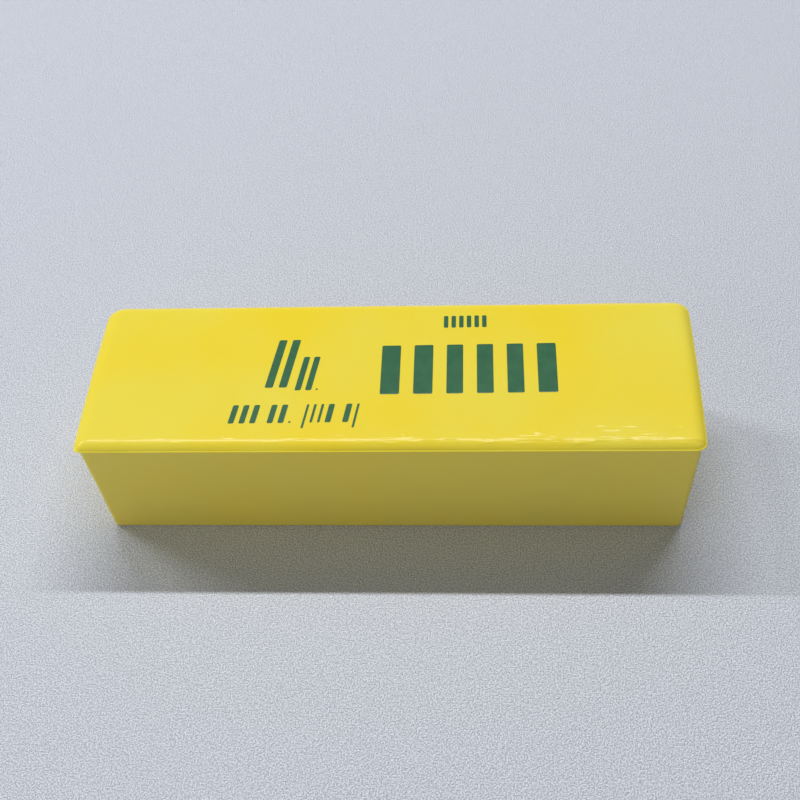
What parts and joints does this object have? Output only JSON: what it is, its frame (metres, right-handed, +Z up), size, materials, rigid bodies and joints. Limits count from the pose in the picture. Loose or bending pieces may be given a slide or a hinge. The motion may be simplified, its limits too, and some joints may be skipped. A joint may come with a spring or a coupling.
{
  "type": "toy butter block",
  "caption": "Soft moulded copy of a stick of butter: a long yellow block with leaning walls and a glossy printed top layer whose sloping edge ends in a thin lip.",
  "frame": {"origin": "middle of the face it rests on", "axes": "+X along the block, +Y across it, away from the foot of the print, +Z up through the printed top face"},
  "size_m": [0.121, 0.0396, 0.0275],
  "materials": {
    "block_rubber": "satin",
    "top_rubber": "gloss",
    "print_ink": "satin"
  },
  "bodies": {
    "root": {"block": "block_rubber", "top_layer": "top_rubber"}
  },
  "joints": []
}
